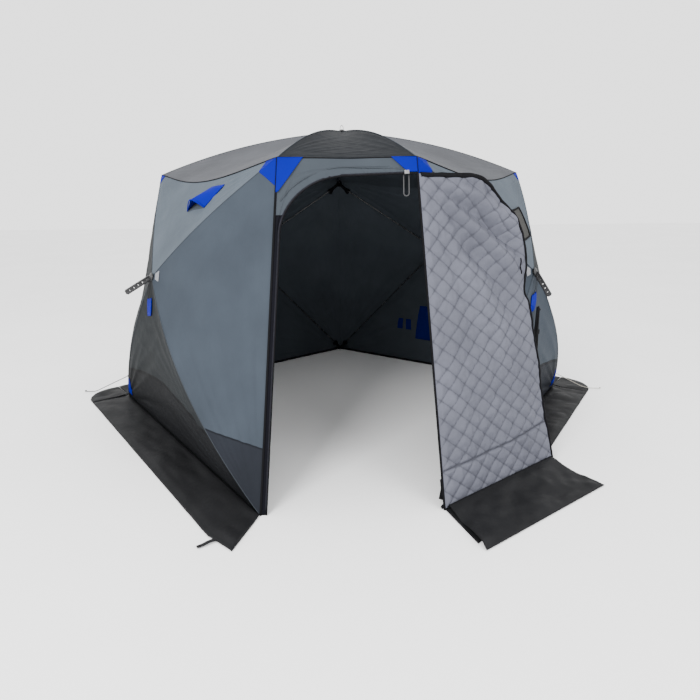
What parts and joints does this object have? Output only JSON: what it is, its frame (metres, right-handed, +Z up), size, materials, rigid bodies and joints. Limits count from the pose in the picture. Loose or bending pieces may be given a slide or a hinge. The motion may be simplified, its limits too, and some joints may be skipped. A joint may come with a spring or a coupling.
{
  "type": "ice fishing shelter",
  "caption": "Pop-up hub shelter for ice fishing: walls and roof that push out at hubs on folding poles, with an arched zip door standing open and a skirt round the base.",
  "frame": {"origin": "on the ice, at the centre of the box round the shelter and its skirts", "axes": "+Z up, the door wall faces -Y, +X to the right as one faces the door, along the widest side"},
  "size_m": [4.4776, 3.8853, 2.076],
  "materials": {
    "black_plastic": "moulded, fine grain",
    "fibreglass": "smooth fibreglass rod with moulded ends",
    "roof_cloth": "coated polyester, dark grey",
    "wall_cloth": "coated quilted polyester, blue-grey",
    "black_webbing": "woven webbing, black",
    "black_cloth": "coated cloth, near black",
    "lining": "silver-grey quilted lining",
    "window_mesh": "fine grey mesh",
    "blue_cloth": "coated cloth, bright blue",
    "black_zip": "coil zip",
    "steel": "plated steel",
    "pale_rope": "braided cord, pale",
    "black_rope": "braided cord, black"
  },
  "bodies": {
    "shell": {"roof": "roof_cloth", "front_wall": "wall_cloth", "door_zip_track": "black_zip", "window_panel": "window_mesh", "vent_hood": "blue_cloth", "pole_pockets": "black_plastic", "roof_corner_patches": "blue_cloth", "guy_rings": "steel", "guy_line_left": "black_webbing", "guy_line_right": "pale_rope", "rope_hank": "black_rope", "skirt_corners": "black_cloth", "wall_front_left": "wall_cloth", "wall_back_left": "wall_cloth", "wall_back_right": "wall_cloth", "wall_front_right": "wall_cloth"},
    "hub_front_left": {"hub_front_left": "black_plastic", "hub_patch_front_left": "wall_cloth", "hub_pull_front_left": "black_webbing"},
    "pole_front_left_lower_front": {"pole_front_left_lower_front": "fibreglass"},
    "pole_front_left_lower_rear": {"pole_front_left_lower_rear": "fibreglass"},
    "pole_front_left_upper_rear": {"pole_front_left_upper_rear": "fibreglass"},
    "pole_front_left_upper_front": {"pole_front_left_upper_front": "fibreglass"},
    "hub_back_left": {"hub_back_left": "black_plastic", "hub_patch_back_left": "wall_cloth", "hub_pull_back_left": "black_webbing"},
    "pole_back_left_lower_front": {"pole_back_left_lower_front": "fibreglass"},
    "pole_back_left_lower_rear": {"pole_back_left_lower_rear": "fibreglass"},
    "pole_back_left_upper_rear": {"pole_back_left_upper_rear": "fibreglass"},
    "pole_back_left_upper_front": {"pole_back_left_upper_front": "fibreglass"},
    "hub_back_right": {"hub_back_right": "black_plastic", "hub_patch_back_right": "wall_cloth", "hub_pull_back_right": "black_webbing"},
    "pole_back_right_lower_rear": {"pole_back_right_lower_rear": "fibreglass"},
    "pole_back_right_lower_front": {"pole_back_right_lower_front": "fibreglass"},
    "pole_back_right_upper_front": {"pole_back_right_upper_front": "fibreglass"},
    "pole_back_right_upper_rear": {"pole_back_right_upper_rear": "fibreglass"},
    "hub_front_right": {"hub_front_right": "black_plastic", "hub_patch_front_right": "wall_cloth", "hub_pull_front_right": "black_webbing"},
    "pole_front_right_lower_rear": {"pole_front_right_lower_rear": "fibreglass"},
    "pole_front_right_lower_front": {"pole_front_right_lower_front": "fibreglass"},
    "pole_front_right_upper_front": {"pole_front_right_upper_front": "fibreglass"},
    "pole_front_right_upper_rear": {"pole_front_right_upper_rear": "fibreglass"},
    "hub_roof": {"hub_roof": "black_plastic", "hub_patch_roof": "roof_cloth", "hub_pull_roof": "black_webbing"},
    "pole_roof_front_left": {"pole_roof_front_left": "fibreglass"},
    "pole_roof_left": {"pole_roof_left": "fibreglass"},
    "pole_roof_back": {"pole_roof_back": "fibreglass"},
    "pole_roof_right": {"pole_roof_right": "fibreglass"},
    "pole_roof_front_right": {"pole_roof_front_right": "fibreglass"},
    "door": {"door_panel": "lining"},
    "door_skirt": {"door_skirt": "black_cloth"},
    "skirt_front_left": {"skirt_front_left": "black_cloth"},
    "skirt_back_left": {"skirt_back_left": "black_cloth"},
    "skirt_back_right": {"skirt_back_right": "black_cloth"},
    "skirt_front_right": {"skirt_front_right": "black_cloth"},
    "zip_slider": {"door_zip_slider": "steel"},
    "zip_carabiner": {"zip_carabiner": "steel"}
  },
  "joints": [
    {"name": "front_left_hub_pop", "type": "slide", "parent": "shell", "child": "hub_front_left", "axis": [0.7965, 0.5766, -0.1817], "range_m": [0, 0.5427], "deforming": ["hub_patch_front_left"]},
    {"name": "front_left_lower_front_pole_fold", "type": "hinge", "parent": "hub_front_left", "child": "pole_front_left_lower_front", "pos_m": [-1.14401, -0.80364, 1.09861], "axis": [-0.5185, 0.497, -0.6958], "range_deg": [0, 22.41]},
    {"name": "front_left_lower_rear_pole_fold", "type": "hinge", "parent": "hub_front_left", "child": "pole_front_left_lower_rear", "pos_m": [-1.18282, -0.74956, 1.10013], "axis": [-0.2859, 0.6241, 0.7271], "range_deg": [0, 21.3]},
    {"name": "front_left_upper_rear_pole_fold", "type": "hinge", "parent": "hub_front_left", "child": "pole_front_left_upper_rear", "pos_m": [-1.17416, -0.74254, 1.16035], "axis": [0.4968, -0.453, 0.7403], "range_deg": [0, 33.55]},
    {"name": "front_left_upper_front_pole_fold", "type": "hinge", "parent": "hub_front_left", "child": "pole_front_left_upper_front", "pos_m": [-1.13306, -0.79975, 1.15897], "axis": [0.2534, -0.5913, -0.7656], "range_deg": [0, 31.85]},
    {"name": "back_left_hub_pop", "type": "slide", "parent": "shell", "child": "hub_back_left", "axis": [0.5926, -0.773, -0.2267], "range_m": [0, 0.544], "deforming": ["hub_patch_back_left"]},
    {"name": "back_left_lower_front_pole_fold", "type": "hinge", "parent": "hub_back_left", "child": "pole_back_left_lower_front", "pos_m": [-0.93999, 0.90646, 1.11037], "axis": [0.4507, 0.5514, -0.702], "range_deg": [0, 21.79]},
    {"name": "back_left_lower_rear_pole_fold", "type": "hinge", "parent": "hub_back_left", "child": "pole_back_left_lower_rear", "pos_m": [-0.88737, 0.94681, 1.11037], "axis": [0.6495, 0.2921, 0.702], "range_deg": [0, 21.79]},
    {"name": "back_left_upper_rear_pole_fold", "type": "hinge", "parent": "hub_back_left", "child": "pole_back_left_upper_rear", "pos_m": [-0.87732, 0.93691, 1.17038], "axis": [-0.4077, -0.5305, 0.7432], "range_deg": [0, 32.62]},
    {"name": "back_left_upper_front_pole_fold", "type": "hinge", "parent": "hub_back_left", "child": "pole_back_left_upper_front", "pos_m": [-0.93304, 0.89419, 1.17038], "axis": [-0.6181, -0.2559, -0.7432], "range_deg": [0, 32.62]},
    {"name": "back_right_hub_pop", "type": "slide", "parent": "shell", "child": "hub_back_right", "axis": [-0.5926, -0.773, -0.2267], "range_m": [0, 0.544], "deforming": ["hub_patch_back_right"]},
    {"name": "back_right_lower_rear_pole_fold", "type": "hinge", "parent": "hub_back_right", "child": "pole_back_right_lower_rear", "pos_m": [0.88737, 0.94681, 1.11037], "axis": [0.6495, -0.2921, -0.702], "range_deg": [0, 21.79]},
    {"name": "back_right_lower_front_pole_fold", "type": "hinge", "parent": "hub_back_right", "child": "pole_back_right_lower_front", "pos_m": [0.93999, 0.90646, 1.11037], "axis": [0.4507, -0.5514, 0.702], "range_deg": [0, 21.79]},
    {"name": "back_right_upper_front_pole_fold", "type": "hinge", "parent": "hub_back_right", "child": "pole_back_right_upper_front", "pos_m": [0.93304, 0.89419, 1.17038], "axis": [-0.6181, 0.2559, 0.7432], "range_deg": [0, 32.62]},
    {"name": "back_right_upper_rear_pole_fold", "type": "hinge", "parent": "hub_back_right", "child": "pole_back_right_upper_rear", "pos_m": [0.87732, 0.93691, 1.17038], "axis": [-0.4077, 0.5305, -0.7432], "range_deg": [0, 32.62]},
    {"name": "front_right_hub_pop", "type": "slide", "parent": "shell", "child": "hub_front_right", "axis": [-0.7965, 0.5766, -0.1817], "range_m": [0, 0.5427], "deforming": ["hub_patch_front_right"]},
    {"name": "front_right_lower_rear_pole_fold", "type": "hinge", "parent": "hub_front_right", "child": "pole_front_right_lower_rear", "pos_m": [1.18282, -0.74956, 1.10013], "axis": [-0.2859, -0.6241, -0.7271], "range_deg": [0, 21.3]},
    {"name": "front_right_lower_front_pole_fold", "type": "hinge", "parent": "hub_front_right", "child": "pole_front_right_lower_front", "pos_m": [1.14401, -0.80364, 1.09861], "axis": [-0.5185, -0.497, 0.6958], "range_deg": [0, 22.41]},
    {"name": "front_right_upper_front_pole_fold", "type": "hinge", "parent": "hub_front_right", "child": "pole_front_right_upper_front", "pos_m": [1.13306, -0.79975, 1.15897], "axis": [0.2534, 0.5913, 0.7656], "range_deg": [0, 31.85]},
    {"name": "front_right_upper_rear_pole_fold", "type": "hinge", "parent": "hub_front_right", "child": "pole_front_right_upper_rear", "pos_m": [1.17416, -0.74254, 1.16035], "axis": [0.4968, 0.453, -0.7403], "range_deg": [0, 33.55]},
    {"name": "roof_hub_pop", "type": "slide", "parent": "shell", "child": "hub_roof", "axis": [0, 0, -1], "range_m": [0, 0.48], "deforming": ["hub_patch_roof"]},
    {"name": "roof_front_left_pole_fold", "type": "hinge", "parent": "hub_roof", "child": "pole_roof_front_left", "pos_m": [-0.01903, -0.31979, 1.99], "axis": [-0.9447, 0.3281, 0], "range_deg": [0, 30.58]},
    {"name": "roof_left_pole_fold", "type": "hinge", "parent": "hub_roof", "child": "pole_roof_left", "pos_m": [-0.05601, -0.24995, 1.99], "axis": [0.2596, 0.9657, 0], "range_deg": [0, 22.92]},
    {"name": "roof_back_pole_fold", "type": "hinge", "parent": "hub_roof", "child": "pole_roof_back", "pos_m": [0, -0.207, 1.99], "axis": [1, 0, 0], "range_deg": [0, 22.92]},
    {"name": "roof_right_pole_fold", "type": "hinge", "parent": "hub_roof", "child": "pole_roof_right", "pos_m": [0.05601, -0.24995, 1.99], "axis": [0.2596, -0.9657, 0], "range_deg": [0, 22.92]},
    {"name": "roof_front_right_pole_fold", "type": "hinge", "parent": "hub_roof", "child": "pole_roof_front_right", "pos_m": [0.01903, -0.31979, 1.99], "axis": [-0.9447, -0.3281, 0], "range_deg": [0, 30.58]},
    {"name": "door_swing", "type": "hinge", "parent": "shell", "child": "door", "pos_m": [0.481, -1.65, 0], "axis": [-0.0721, 0.2077, 0.9755], "range_deg": [-212, 0]},
    {"name": "door_skirt_fold", "type": "hinge", "parent": "door", "child": "door_skirt", "pos_m": [0.52347, -1.63361, 0.02343], "axis": [-0.8384, -0.5446, -0.02], "range_deg": [0, 75]},
    {"name": "skirt_front_left_fold", "type": "hinge", "parent": "shell", "child": "skirt_front_left", "pos_m": [-0.48505, -1.65293, 0.0015], "axis": [-0.5864, 0.81, 0], "range_deg": [0, 80]},
    {"name": "skirt_back_left_fold", "type": "hinge", "parent": "shell", "child": "skirt_back_left", "pos_m": [-1.84504, 0.23405, 0.0015], "axis": [0.7936, 0.6084, 0], "range_deg": [0, 80]},
    {"name": "skirt_back_right_fold", "type": "hinge", "parent": "shell", "child": "skirt_back_right", "pos_m": [0.00304, 1.64617, 0.0015], "axis": [0.7936, -0.6084, 0], "range_deg": [0, 80]},
    {"name": "skirt_front_right_fold", "type": "hinge", "parent": "shell", "child": "skirt_front_right", "pos_m": [1.84605, 0.22715, 0.0015], "axis": [-0.5864, -0.81, 0], "range_deg": [0, 80]},
    {"name": "zip_slide", "type": "slide", "parent": "shell", "child": "zip_slider", "axis": [-0.9994, -0.007, -0.033], "range_m": [0, 0.28]},
    {"name": "carabiner_swing", "type": "hinge", "parent": "zip_slider", "child": "zip_carabiner", "pos_m": [0.29986, -1.27958, 1.70434], "axis": [0, -0.9781, 0.2083], "range_deg": [-60, 25]}
  ],
  "couplings": [
    {"joint": "front_left_lower_front_pole_fold", "follows": "front_left_hub_pop", "rad_per_m": 0.70145},
    {"joint": "front_left_lower_rear_pole_fold", "follows": "front_left_hub_pop", "rad_per_m": 0.66564},
    {"joint": "front_left_upper_rear_pole_fold", "follows": "front_left_hub_pop", "rad_per_m": 1.0595},
    {"joint": "front_left_upper_front_pole_fold", "follows": "front_left_hub_pop", "rad_per_m": 1.0051},
    {"joint": "back_left_lower_front_pole_fold", "follows": "back_left_hub_pop", "rad_per_m": 0.67985},
    {"joint": "back_left_lower_rear_pole_fold", "follows": "back_left_hub_pop", "rad_per_m": 0.67987},
    {"joint": "back_left_upper_rear_pole_fold", "follows": "back_left_hub_pop", "rad_per_m": 1.0272},
    {"joint": "back_left_upper_front_pole_fold", "follows": "back_left_hub_pop", "rad_per_m": 1.0272},
    {"joint": "back_right_lower_rear_pole_fold", "follows": "back_right_hub_pop", "rad_per_m": 0.67987},
    {"joint": "back_right_lower_front_pole_fold", "follows": "back_right_hub_pop", "rad_per_m": 0.67985},
    {"joint": "back_right_upper_front_pole_fold", "follows": "back_right_hub_pop", "rad_per_m": 1.0272},
    {"joint": "back_right_upper_rear_pole_fold", "follows": "back_right_hub_pop", "rad_per_m": 1.0272},
    {"joint": "front_right_lower_rear_pole_fold", "follows": "front_right_hub_pop", "rad_per_m": 0.66564},
    {"joint": "front_right_lower_front_pole_fold", "follows": "front_right_hub_pop", "rad_per_m": 0.70145},
    {"joint": "front_right_upper_front_pole_fold", "follows": "front_right_hub_pop", "rad_per_m": 1.0051},
    {"joint": "front_right_upper_rear_pole_fold", "follows": "front_right_hub_pop", "rad_per_m": 1.0595},
    {"joint": "roof_front_left_pole_fold", "follows": "roof_hub_pop", "rad_per_m": 1.09},
    {"joint": "roof_left_pole_fold", "follows": "roof_hub_pop", "rad_per_m": 0.81144},
    {"joint": "roof_back_pole_fold", "follows": "roof_hub_pop", "rad_per_m": 0.81152},
    {"joint": "roof_right_pole_fold", "follows": "roof_hub_pop", "rad_per_m": 0.81144},
    {"joint": "roof_front_right_pole_fold", "follows": "roof_hub_pop", "rad_per_m": 1.09}
  ]
}
